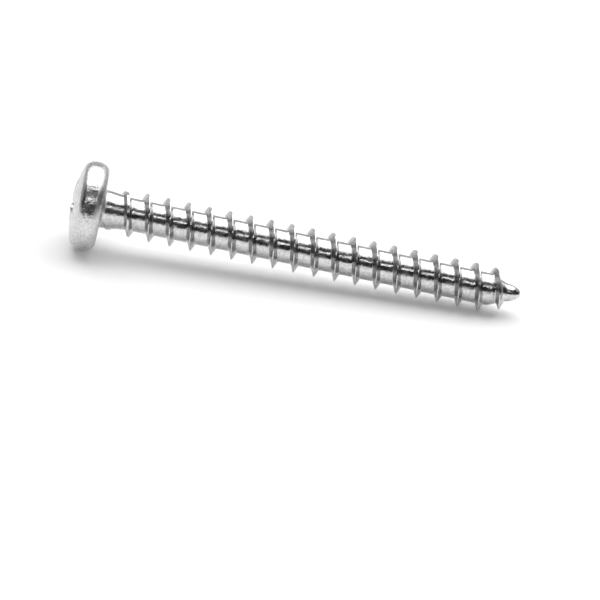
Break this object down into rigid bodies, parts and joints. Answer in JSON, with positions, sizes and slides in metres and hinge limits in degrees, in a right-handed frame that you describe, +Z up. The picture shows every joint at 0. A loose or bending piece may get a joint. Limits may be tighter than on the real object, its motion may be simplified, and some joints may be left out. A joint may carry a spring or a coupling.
{
  "type": "pan head sheet metal screw",
  "caption": "Right-hand pan head sheet metal screw with a cross recess, widely spaced sharp thread and gimlet point, lying on its side.",
  "frame": {"origin": "centre of the bounding box, at the height of the surface that the screw lies on", "axes": "+Z up from that surface; the screw's axis runs from the head towards +X, in the XZ plane, and dips 3.04 degrees towards the point; Y is across"},
  "size_m": [0.0462, 0.009, 0.0091],
  "materials": {
    "bright_steel": "satin"
  },
  "bodies": {
    "root": {"screw": "bright_steel"}
  },
  "joints": []
}
